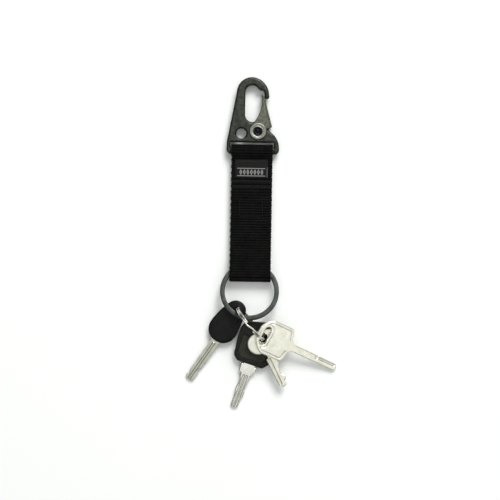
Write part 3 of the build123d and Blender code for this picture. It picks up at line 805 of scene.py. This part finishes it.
thread_wave = wave_of(parts.outputs["X"], entry.outputs["Thread Pitch"])
row_wave = wave_of(parts.outputs["Y"], entry.outputs["Row Pitch"], math.pi / 2)
height = maths(woven_yarns, "MULTIPLY", thread_wave, maths(woven_yarns, "MULTIPLY_ADD", row_wave, 0.6, 0.4))
join(woven_yarns, height, out.inputs["Height"])
join(woven_yarns, maths(woven_yarns, "SUBTRACT", 1.0, row_wave), out.inputs["Valley"])
yarn_cell = add_node(woven_yarns, "VectorMath", operation="DIVIDE")
pitches = add_node(woven_yarns, "CombineXYZ", Z=1.0)
join(woven_yarns, entry.outputs["Thread Pitch"], pitches.inputs["X"])
join(woven_yarns, entry.outputs["Row Pitch"], pitches.inputs["Y"])
join(woven_yarns, entry.outputs["Vector"], yarn_cell.inputs[0])
join(woven_yarns, pitches.outputs[0], yarn_cell.inputs[1])
whole_cell = add_node(woven_yarns, "VectorMath", operation="FLOOR")
join(woven_yarns, yarn_cell.outputs[0], whole_cell.inputs[0])
chance = add_node(woven_yarns, "TexWhiteNoise", noise_dimensions="2D")
join(woven_yarns, whole_cell.outputs[0], chance.inputs["Vector"])
join(woven_yarns, chance.outputs["Value"], out.inputs["Tint"])
print("group:", woven_yarns.name)

# %% Webbing finish


def cloth_finish(name, dark, light, roughness, thread, row, height_mm, sheen, lint_share):
    """Nylon cloth on a UV in millimetres: yarns, valleys darkened as painted shade, uneven dye, a little pale
    lint.
    """
    material, tree, shader, place = start_finish(name, "UV", Sheen_Weight=sheen, Sheen_Roughness=0.4,
                                                 Specular_IOR_Level=0.035)
    yarns = place_group(tree, woven_yarns, place, Thread_Pitch=thread, Row_Pitch=row)
    tones = place_group(tree, cloudy_tone, place, Scale=0.16, Grain_Scale=5.0)
    lint = place_group(tree, dust_specks, add_node(tree, "TexCoord").outputs["Object"], Scale=700.0)["Dust"]
    mixed = maths(tree, "MULTIPLY_ADD", yarns["Tint"], 0.5, maths(tree, "MULTIPLY", tones["Tone"], 0.5))
    colour = blend_colours(tree, mixed, dark, light)
    # Painted shade: the valleys between ribs fade to 15% of the dark tone.
    valley = spread(tree, yarns["Valley"], 0.15, 0.75, 0.0, 0.95)
    colour = blend_colours(tree, valley, colour, tuple(c * 0.15 for c in dark))
    join(tree, blend_colours(tree, maths(tree, "MULTIPLY", lint, lint_share), colour, (0.24, 0.24, 0.23)),
         shader.inputs["Base Color"])
    join(tree, spread(tree, tones["Grain"], 0.0, 1.0, roughness - 0.08, roughness + 0.1),
         shader.inputs["Roughness"])
    raise_surface(tree, shader, maths(tree, "MULTIPLY_ADD", tones["Grain"], 0.25, yarns["Height"]),
                  height_mm * MM)
    return material


webbing_nylon = cloth_finish(
    "black_ribbed_nylon", dark=(0.0018, 0.0018, 0.0018), light=(0.0115, 0.0117, 0.0115), roughness=0.38,
    thread=0.575, row=float(band_length) / RIBS, height_mm=0.12, sheen=0.01, lint_share=0.12)
sewing_thread = cloth_finish(
    "black_bonded_thread", dark=(0.012, 0.012, 0.012), light=(0.030, 0.030, 0.029), roughness=0.32,
    thread=0.3, row=0.5, height_mm=0.06, sheen=0.03, lint_share=0.1)
dress(webbing, None, webbing_nylon, "black_webbing", "webbing_upper", "webbing_lower")
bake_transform(webbing)

# %% [markdown]
# ## Woven label
# A small satin label is sewn on below the hook. It is a thin sheet that follows the ribs a
# little and is pulled down along its stitched edges, so it is a grid whose height falls off at
# the rim. Its two pale lines and the row of plain lozenges between them are woven in: masks
# worked out from the label's own UV in millimetres choose the thread colour.

# %% Label surface
LABEL_WIDTH, LABEL_HEIGHT = 19.6, 10.8
SHEET_FOOT = 0.10
UPPER_LINE, ROW_MIDDLE, LOWER_LINE = -5.1, -7.3, -9.5
LINE_HALF = 0.22
LOZENGE_PITCH = 2.1
LOZENGE_SLIMNESS = 0.47
ROW_HALF = 7.3
SIDE_MARK, SIDE_MARK_HALF = 9.35, 2.9
label_x, label_top = strap_x - 0.2, bar_y - 5.6
face_z = rest_z + 1.5


def label_points(columns, rows):
    """A closed thin sheet: height rises from the stitched rim, with faint ripples from the ribs below."""
    u = np.linspace(-LABEL_WIDTH / 2, LABEL_WIDTH / 2, columns)
    v = np.linspace(0, -LABEL_HEIGHT, rows)
    u_grid, v_grid = np.meshgrid(u, v)
    rim = np.minimum(LABEL_WIDTH / 2 - np.abs(u_grid), np.minimum(-v_grid, LABEL_HEIGHT + v_grid))
    rise = 0.10 + 0.20 * (1 - np.exp(-rim / 0.5))
    ripple = 0.035 * np.cos(2 * np.pi * v_grid / 1.5)
    ripple += 0.05 * np.exp(-rim / 1.2) * np.sin(2 * np.pi * u_grid / 2.1)
    upper = np.stack([label_x + u_grid, label_top + v_grid, face_z + rise + ripple], -1)
    lower = upper.copy()
    lower[..., 2] = face_z - SHEET_FOOT
    wrapped = np.concatenate([lower[:, :1], upper, lower[:, -1:]], 1)
    uv = np.stack([np.pad(u_grid, ((0, 0), (1, 1)), "edge"), np.pad(v_grid, ((0, 0), (1, 1)), "edge")], -1)
    foot, head = wrapped[:1].copy(), wrapped[-1:].copy()
    foot[..., 2] = head[..., 2] = face_z - SHEET_FOOT
    return np.concatenate([foot, wrapped, head]), np.concatenate([uv[:1], uv, uv[-1:]])


label_grid, label_uv = label_points(110, 64)
label = make_piece("woven_label_sheet", label_grid.reshape(-1, 3),
                   grid_quads(*label_grid.shape[:2], False, True)[:, ::-1], label_uv.reshape(-1, 2))


def label_finish():
    """Black satin with a fine weft; pale threads where a line, lozenge or side mark is woven."""
    material, tree, shader, place = start_finish("woven_black_satin", "UV", Specular_IOR_Level=0.16)
    yarns = place_group(tree, woven_yarns, place, Thread_Pitch=0.16, Row_Pitch=0.22)
    parts = add_node(tree, "SeparateXYZ")
    join(tree, place, parts.inputs[0])
    u, v = parts.outputs["X"], parts.outputs["Y"]
    ragged = add_node(tree, "TexNoise", Scale=3.2, Detail=2.0)
    join(tree, place, ragged.inputs["Vector"])
    wobble = maths(tree, "MULTIPLY_ADD", ragged.outputs[0], 0.22, -0.11)

    def bar(coordinate, centre, half):
        """1 within half of the centre and 0 outside, with a ragged woven border."""
        far = maths(tree, "ABSOLUTE", maths(tree, "SUBTRACT", coordinate, centre))
        return spread(tree, maths(tree, "ADD", far, wobble), half - 0.06, half + 0.06, 1.0, 0.0)

    inside = bar(u, -0.1, 8.3)
    lines = maths(tree, "MAXIMUM", bar(v, UPPER_LINE, LINE_HALF), bar(v, LOWER_LINE, LINE_HALF))
    lines = maths(tree, "MULTIPLY", lines, inside)
    row_start = maths(tree, "ADD", u, 3.5 * LOZENGE_PITCH)
    turns = maths(tree, "FRACT", maths(tree, "DIVIDE", row_start, LOZENGE_PITCH))
    from_centre = maths(tree, "ABSOLUTE", maths(tree, "SUBTRACT", turns, 0.5))
    from_centre = maths(tree, "MULTIPLY", from_centre, LOZENGE_PITCH)
    from_row = maths(tree, "ABSOLUTE", maths(tree, "SUBTRACT", v, ROW_MIDDLE))
    from_row = maths(tree, "MULTIPLY", from_row, LOZENGE_SLIMNESS)
    lozenge_reach = maths(tree, "ADD", maths(tree, "ADD", from_centre, from_row), wobble)
    lozenge = spread(tree, lozenge_reach, 0.78, 0.92, 1.0, 0.0)
    lozenge = maths(tree, "MULTIPLY", lozenge, bar(u, 0.0, ROW_HALF))
    core = spread(tree, lozenge_reach, 0.26, 0.36, 0.0, 1.0)
    lozenge = maths(tree, "MULTIPLY", lozenge, core)
    side = maths(tree, "MULTIPLY", bar(u, SIDE_MARK, 0.16), bar(v, ROW_MIDDLE, SIDE_MARK_HALF))
    pale = maths(tree, "MAXIMUM", lines, lozenge)
    pale = maths(tree, "MAXIMUM", pale, maths(tree, "MULTIPLY", side, 0.55))
    broken = spread(tree, yarns["Tint"], 0.0, 1.0, 0.78, 1.0)
    black = blend_colours(tree, yarns["Tint"], (0.0035, 0.0035, 0.004), (0.008, 0.008, 0.0085))
    colour = blend_colours(tree, maths(tree, "MULTIPLY", pale, broken), black, (0.30, 0.31, 0.30))
    join(tree, colour, shader.inputs["Base Color"])
    join(tree, spread(tree, yarns["Height"], 0.0, 1.0, 0.48, 0.32), shader.inputs["Roughness"])
    raise_surface(tree, shader, maths(tree, "ADD", yarns["Height"], pale), 0.00004)
    return material


dress(label, "strap", label_finish(), "black_satin_label", "woven_label")

# %% [markdown]
# ## Stitches
# Sewn thread shows as short raised lengths that dip into the webbing at each end. Each stitch
# is a small closed capsule of 48 faces, bent down at its ends, and hundreds of them are made at
# once by repeating one capsule along an array of start and end points. The bar tack is two
# rows of tight zigzag with a straight row under them; the box stitch is a rectangle.

# %% Stitches


def sewn(name, starts, ends, radius, top):
    """One capsule per stitch from start to end (x, y), which swells in the middle and dips at the ends."""
    starts, ends = np.asarray(starts, float), np.asarray(ends, float)
    along = np.array([0.0, 0.04, 0.2, 0.5, 0.8, 0.96, 1.0])
    girth = radius * np.array([0.0, 0.55, 0.95, 1.0, 0.95, 0.55, 0.0])[None, :, None]
    dip = np.array([-0.30, -0.24, -0.05, 0.02, -0.05, -0.24, -0.30])
    angle = np.linspace(0, 2 * np.pi, 8, endpoint=False)
    ahead = ends - starts
    side = np.stack([-ahead[:, 1], ahead[:, 0]], -1) / np.linalg.norm(ahead, axis=1)[:, None]
    centre = starts[:, None] + ahead[:, None] * along[None, :, None]
    plan = centre[:, :, None] + side[:, None, None] * (girth * np.cos(angle))[..., None]
    height = top + dip[None, :, None] + girth * np.sin(angle)
    height = np.broadcast_to(height, plan.shape[:-1])
    points = np.concatenate([plan, height[..., None]], -1)
    one = grid_quads(len(along), len(angle), False, True)
    faces = (one[None] + (np.arange(len(starts)) * len(along) * len(angle))[:, None, None]).reshape(-1, 4)
    far = np.linalg.norm(ahead, axis=1)[:, None, None] * along[None, :, None]
    round_it, far = np.broadcast_to(angle * radius, plan.shape[:-1]), np.broadcast_to(far, plan.shape[:-1])
    uv = np.stack([round_it, far], -1)
    piece = make_piece(name, points.reshape(-1, 3), faces, uv.reshape(-1, 2), merge=0.0005)
    print(name, "stitches:", len(starts))
    return piece


def straight_row(start, end, pitch, gap):
    """Starts and ends of stitches in line from start to end, a gap after each."""
    start, end = np.array(start, float), np.array(end, float)
    length = np.linalg.norm(end - start)
    count = max(1, int(round(length / pitch)))
    step = (end - start) / count
    begins = start + step * np.arange(count)[:, None]
    return begins, begins + step * (1 - gap)


def zigzag_row(left, right, low, high, count):
    """Starts and ends of stitches that go up and down between two heights from left to right."""
    x = np.linspace(left, right, count + 1)
    y = np.where(np.arange(count + 1) % 2 == 0, low, high)
    corner = np.stack([x, y], -1)
    return corner[:-1], corner[1:]


def all_rows(*rows):
    """Starts and ends of several rows put together."""
    return np.concatenate([row[0] for row in rows]), np.concatenate([row[1] for row in rows])


TACK_HALF = 11.6
TACK_STITCHES = 44
BOX_HALF_WIDTH, BOX_HALF_HEIGHT = 6.9, 5.0
thread_top = face_z + 0.13
tack_y, tack_left, tack_right = bar_y - 20.7, strap_x - TACK_HALF, strap_x + TACK_HALF
tack_rows = all_rows(
    zigzag_row(tack_left, tack_right, tack_y + 0.9, tack_y + 3.3, TACK_STITCHES),
    zigzag_row(tack_left, tack_right, tack_y - 2.3, tack_y + 0.1, TACK_STITCHES),
    straight_row((tack_left, tack_y - 3.2), (tack_right, tack_y - 3.2), 2.1, 0.2))
dress(sewn("bar_tack_thread", *tack_rows, 0.24, thread_top), "strap", sewing_thread, "black_thread",
      "bar_tack_stitching")
box_x, box_y = strap_x - 0.2, bar_y - 34.5
corners = [(box_x + h * BOX_HALF_WIDTH, box_y + v * BOX_HALF_HEIGHT)
           for h, v in ((-1, -1), (1, -1), (1, 1), (-1, 1))]
box_rows = all_rows(*[straight_row(corners[k], corners[(k + 1) % 4], 2.0, 0.22) for k in range(4)])
dress(sewn("box_stitch_thread", *box_rows, 0.23, thread_top), "strap", sewing_thread, "black_thread",
      "box_stitching")

# %% [markdown]
# ## Split rings
# A split ring is one flat wire wound nearly twice round. Over most of the ring the two turns
# lie on each other; in one short stretch the wire crosses from the lower turn to the upper one,
# and the two ends stop against it. So the wire is a rounded section carried along a circle
# whose height eases from one level to the other over the crossing, and the ends are closed.

# %% Split rings
RING_STEPS = 420
SECTION_STEPS = 28
SQUARENESS = 0.42
END_GAP_DEG = 1.6
TURN_GAP = 0.02
END_SHRINK = (0.0, 0.80, 0.93, 1.0)


def split_ring(name, centre, across_axis, axis, diameter, width, thick, crossing_deg, crossing_width_deg):
    """Flat wire wound twice: a rounded rectangle carried along a circle that changes level once."""
    x_dir, z_dir = np.array(across_axis, float), np.array(axis, float)
    y_dir = np.cross(z_dir, x_dir)
    begin = crossing_deg + crossing_width_deg / 2 + END_GAP_DEG
    finish = crossing_deg - crossing_width_deg / 2 + 720 - END_GAP_DEG
    degree = np.linspace(begin, finish, RING_STEPS)
    share = np.clip((degree - (crossing_deg + 360 - crossing_width_deg / 2)) / crossing_width_deg, 0, 1)
    level = (share * share * (3 - 2 * share) - 0.5) * thick / 2
    around = np.linspace(0, 2 * np.pi, SECTION_STEPS, endpoint=False)
    cosine, sine = np.cos(around), np.sin(around)
    section_r = np.sign(cosine) * np.abs(cosine) ** SQUARENESS * width / 2
    section_z = np.sign(sine) * np.abs(sine) ** SQUARENESS * (thick / 4 - TURN_GAP)
    from_end = np.minimum(np.arange(RING_STEPS), np.arange(RING_STEPS)[::-1])
    shrink = np.array(END_SHRINK)[np.minimum(from_end, len(END_SHRINK) - 1)]
    radius = (diameter - width) / 2 + section_r[None, :] * shrink[:, None]
    height = level[:, None] + section_z[None, :] * shrink[:, None]
    theta = np.radians(degree)[:, None]
    points = (np.array(centre) + (radius * np.cos(theta))[..., None] * x_dir
              + (radius * np.sin(theta))[..., None] * y_dir + height[..., None] * z_dir)
    uv = np.stack([np.broadcast_to(theta * (diameter - width) / 2, radius.shape),
                   np.broadcast_to(around * width / 2, radius.shape)], -1)
    return make_piece(name, points.reshape(-1, 3), grid_quads(*radius.shape, False, True)[:, ::-1],
                      uv.reshape(-1, 2), merge=0.0005)


slide = next(joint for joint in frame["joints"] if joint["name"] == "split_ring_slide")
key_ring = split_ring("key_ring_coil", joint_at["split_ring_slide"], (1, 0, 0), slide["axis"],
                      diameter=35.0, width=2.8, thick=2.0, crossing_deg=120, crossing_width_deg=30)
dress(key_ring, "ring", key_ring_steel, "dark_ring_steel", "key_ring")
SMALL_RING, SMALL_WIRE = 25.0, 1.9
ring_heading, ring_lean = math.radians(-49.15), math.radians(5.0)
ring_along = np.array([math.cos(ring_heading), math.sin(ring_heading), 0])
ring_aside = np.array([math.sin(ring_heading), -math.cos(ring_heading), 0])
ring_axis = ring_aside * math.cos(ring_lean) - np.array([0, 0, 1]) * math.sin(ring_lean)
ring_centre = (strap_x + 0.9, bar_y - 102.5,
               SMALL_RING / 2 * math.cos(ring_lean) + SMALL_WIRE / 2 * math.sin(ring_lean))
small_ring = split_ring("small_ring_coil", ring_centre, ring_along, ring_axis,
                        diameter=SMALL_RING, width=SMALL_WIRE, thick=SMALL_WIRE, crossing_deg=86,
                        crossing_width_deg=24)
dress(small_ring, "split_ring", polished_ring_nickel, "bright_nickel", "small_split_ring")

# %% [markdown]
# ## Keys
# Each key has its own sloping plane: its hole hangs on the small ring's wire and its tip rests
# on the table. The plane comes from the key's joint and its bearing and slope, and it serves
# twice: patterns that run along a key read a UV laid in that plane, and the oval head, which
# is crowned on the real key, is built in it. The milled blades are eased copies.

# %% Key planes


def key_axes(joint_name, bearing_deg, slope_deg):
    """Origin in the hole, direction down the key, direction across it and the upper normal."""
    turn, drop = math.radians(bearing_deg), math.radians(slope_deg)
    down = np.array([math.cos(turn) * math.cos(drop), math.sin(turn) * math.cos(drop), -math.sin(drop)])
    normal = np.array([math.cos(turn) * math.sin(drop), math.sin(turn) * math.sin(drop), math.cos(drop)])
    return joint_at[joint_name], down, np.cross(normal, down), normal


bike_axes = key_axes("bike_key_fan", bearing_deg=-124.0, slope_deg=5.96)
car_axes = key_axes("car_key_fan", bearing_deg=-109.2, slope_deg=4.76)
padlock_axes = key_axes("padlock_key_fan", bearing_deg=-63.9, slope_deg=5.0)
house_axes = key_axes("house_key_fan", bearing_deg=-24.6, slope_deg=13.68)


def milled_key(node, name, axes, voxel, body, material, slot, **chamfer):
    """Eased copy of a key part with a UV in millimetres along and across the key."""
    piece = eased_copy(node, name, axes, voxel, relaxing=2, **chamfer)
    origin, down, across, _ = axes
    places = local_points(piece.data) / MM - origin
    write_uv(piece.data, np.stack([places @ down, places @ across], -1))
    dress(piece, body, material, slot, node)


milled_key("bike_key_blade", "bike_key_blade_milled", bike_axes, 0.14, "bike_key", milled_blade_nickel,
           "satin_nickel", half_thick=1.1, width=0.45, drop=0.45)
milled_key("car_key_blade", "car_key_blade_milled", car_axes, 0.14, "car_key", car_blade_nickel,
           "satin_nickel", half_thick=0.9, width=0.55, drop=0.5)
milled_key("padlock_key", "padlock_key_cut", padlock_axes, 0.15, "padlock_key", bright_key_nickel,
           "bright_key_nickel", half_thick=0.9, width=0.45, drop=0.35)
milled_key("house_key", "house_key_cut", house_axes, 0.16, "house_key", bright_key_nickel,
           "bright_key_nickel", half_thick=1.1, width=0.45, drop=0.4,
           line_at=1.75, line_depth=0.26, line_until=15.5)
car_rubber = eased_copy("car_key_head", "car_key_rubber", car_axes, voxel=0.18, relaxing=5,
                        half_thick=1.8, width=1.3, drop=0.35)
dress(car_rubber, "car_key", head_rubber, "black_rubber", "car_key_head")
for panel_node in ("car_key_front_panel", "car_key_rear_panel"):
    inlay = eased_copy(panel_node, panel_node + "_inlay", car_axes, voxel=0.11, relaxing=2)
    dress(inlay, "car_key", insert_grey, "grey_panel", panel_node)

# %% Oval key head
FACE_RISE = 1.3
CROWN = 0.1
SHELF_INSET = 3.0


def oval_outline(round_ends, count):
    """Outline round circles (x, y, radius), as if by a stretched band, at even steps."""
    line = farthest_line(round_ends, np.linspace(0, 2 * np.pi, 720, endpoint=False))
    return even_loop(line, count, 3)[0]


def crowned_head(name, axes, outline, hole_radius):
    """Ring-shaped grid from the hole's wall over a flared rim and a crowned face to the rounded edge.

    It comes back below in the same way. Heights are in millimetres from the head's middle plane.
    """
    origin, down, across, normal = axes
    ahead = np.roll(outline, -1, 0) - np.roll(outline, 1, 0)
    ahead /= np.linalg.norm(ahead, axis=1)[:, None]
    inward = np.stack([-ahead[:, 1], ahead[:, 0]], -1)
    angle = np.arctan2(outline[:, 1], outline[:, 0])
    spoke = np.stack([np.cos(angle), np.sin(angle)], -1)
    shelf = outline + inward * SHELF_INSET
    rows, heights = [], []
    for reach, rise in ((0.0, 0.0), (0.0, 0.55), (0.25, 0.85), (0.6, 1.12), (1.0, FACE_RISE)):
        rows.append(spoke * (hole_radius + reach))
        heights.append(rise)
    inner = rows[-1]
    for share in (0.08, 0.25, 0.5, 0.75, 1.0):
        rows.append(inner * (1 - share) + shelf * share)
        crown = CROWN * math.sin(math.pi * min(1.0, share * 1.4) / 2)
        heights.append(FACE_RISE + crown - 0.07 * share)
    for inset, rise in ((2.2, 1.27), (1.5, 1.17), (0.95, 1.02), (0.5, 0.8), (0.2, 0.55), (0.04, 0.25)):
        rows.append(outline + inward * inset)
        heights.append(rise)
    rows += [outline] + rows[:0:-1]
    heights += [0.0] + [-h for h in heights[:0:-1]]
    plan = np.array(rows)
    level = np.broadcast_to(np.array(heights)[:, None], plan.shape[:2])
    points = origin + plan[..., :1] * down + plan[..., 1:] * across + level[..., None] * normal
    return make_piece(name, points.reshape(-1, 3), grid_quads(*plan.shape[:2], True, True),
                      plan.reshape(-1, 2))


egg = oval_outline([(2.1, -2.0, 6.2), (9.0, -2.2, 7.9), (15.6, -2.0, 8.8)], 160)
dress(crowned_head("bike_key_oval_head", bike_axes, egg, hole_radius=2.1), "bike_key", head_plastic,
      "black_plastic", "bike_key_head")

# %% [markdown]
# ## Table and light
# The object lies on a plain pale table. One large soft lamp stands high beyond the hook and a
# little to the right, so shadows fall softly towards the keys, and a weak one fills in from the
# right. The sky darkens towards the horizon, which gives the metal something to shade against,
# apart from a bright stretch on the right for the chamfers to reflect. Seen directly, it is a
# plain pale wall, so a low view has no dark horizon. The table is not part of the object.

# %% Table and light


def table_top():
    """A wide flat sheet of pale card whose tone drifts a little."""
    points = np.array([(-1500, -1500, 0), (1500, -1500, 0), (1500, 1500, 0), (-1500, 1500, 0)], float)
    sheet = make_piece("pale_table", points - (0, 0, 0.02), [[0, 1, 2, 3]])
    material, tree, shader, place = start_finish("pale_card", Roughness=0.9, Specular_IOR_Level=0.1)
    tones = place_group(tree, cloudy_tone, place, Scale=4.0, Grain_Scale=1800.0)
    join(tree, blend_colours(tree, tones["Tone"], (0.925, 0.945, 0.935), (0.94, 0.96, 0.95)),
         shader.inputs["Base Color"])
    sheet.data.materials.append(material)


def soft_lamp(name, spot, target, size, watts, tint):
    """Square area lamp at a spot, turned to face a target; both in metres."""
    data = bpy.data.lights.new(name, "AREA")
    data.shape, data.size, data.energy, data.color = "SQUARE", size, watts, tint
    lamp = placed(name, data)
    lamp.location = spot
    lamp.rotation_euler = (Vector(target) - Vector(spot)).to_track_quat("-Z", "Y").to_euler()


table_top()
soft_lamp("key_lamp", spot=(0.50, 1.60, 1.70), target=(0, -0.04, 0), size=1.1, watts=46.0,
          tint=(1.0, 0.99, 0.97))
soft_lamp("right_fill", spot=(0.75, -0.10, 0.85), target=(0, -0.02, 0), size=0.7, watts=0.6,
          tint=(0.98, 1.0, 1.0))
world = bpy.data.worlds.new("soft_sky")
scene.world = world
world.use_nodes = True
sky = world.node_tree
backdrop = sky.nodes["Background"]
aim = add_node(sky, "TexCoord").outputs["Generated"]
direction = add_node(sky, "SeparateXYZ")
join(sky, aim, direction.inputs[0])
overhead = spread(sky, direction.outputs["Z"], 0.42, 0.86, 0.07, 1.0)
panels = add_node(sky, "TexNoise", Scale=1.7, Detail=1.0)
join(sky, aim, panels.inputs["Vector"])
shade = maths(sky, "MULTIPLY", overhead, spread(sky, panels.outputs[0], 0.36, 0.62, 0.75, 1.12))
side_wall = spread(sky, direction.outputs["X"], 0.82, 0.94, 0.0, 0.75)
shade = maths(sky, "MAXIMUM", shade, side_wall)
join(sky, blend_colours(sky, shade, (0.0, 0.0, 0.0), (1.0, 1.0, 1.0)), backdrop.inputs["Color"])
backdrop.inputs["Strength"].default_value = 1.0
pale_wall = add_node(sky, "Background", Color=(0.93, 0.94, 0.94, 1.0), Strength=1.0)
to_camera = add_node(sky, "MixShader")
join(sky, add_node(sky, "LightPath").outputs["Is Camera Ray"], to_camera.inputs[0])
join(sky, backdrop.outputs[0], to_camera.inputs[1])
join(sky, pale_wall.outputs[0], to_camera.inputs[2])
join(sky, to_camera.outputs[0], sky.nodes["World Output"].inputs["Surface"])
scene.view_settings.view_transform = "Standard"
